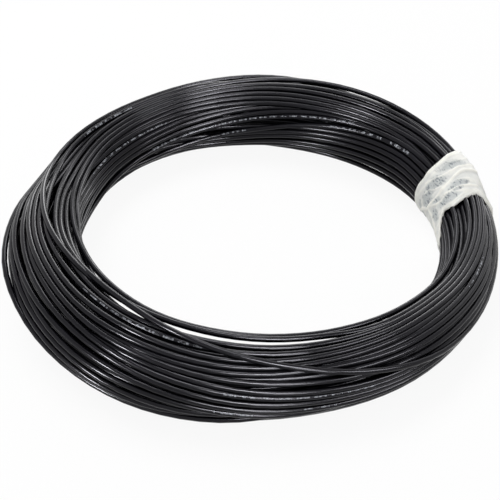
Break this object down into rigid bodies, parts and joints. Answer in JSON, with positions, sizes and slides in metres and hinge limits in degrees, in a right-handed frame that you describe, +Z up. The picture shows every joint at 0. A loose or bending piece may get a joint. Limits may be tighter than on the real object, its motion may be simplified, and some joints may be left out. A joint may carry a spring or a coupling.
{
  "type": "tied ring of electrical wire",
  "caption": "Loose flat ring of black insulated stranded single-core wire, tied once with a crumpled band of clear film, lying on its side.",
  "frame": {"origin": "centre of the ring, on the surface that the ring lies on", "axes": "+Z up along the ring's axis, +X a radius of the ring, eleven degrees anticlockwise of the middle of the tie seen from above, +Y a quarter turn further"},
  "size_m": [0.2166, 0.2147, 0.0376],
  "materials": {
    "insulation": "black PVC insulation, satin gloss",
    "copper": "bare drawn copper, freshly cut",
    "film": "clear stretch film, crumpled and milky where it is layered"
  },
  "bodies": {
    "root": {"wire_turns": "insulation", "inner_turns": "insulation", "binding_film": "film", "strand_1": "copper", "strand_2": "copper", "strand_3": "copper", "strand_4": "copper", "strand_5": "copper", "strand_6": "copper", "strand_7": "copper"}
  },
  "joints": []
}
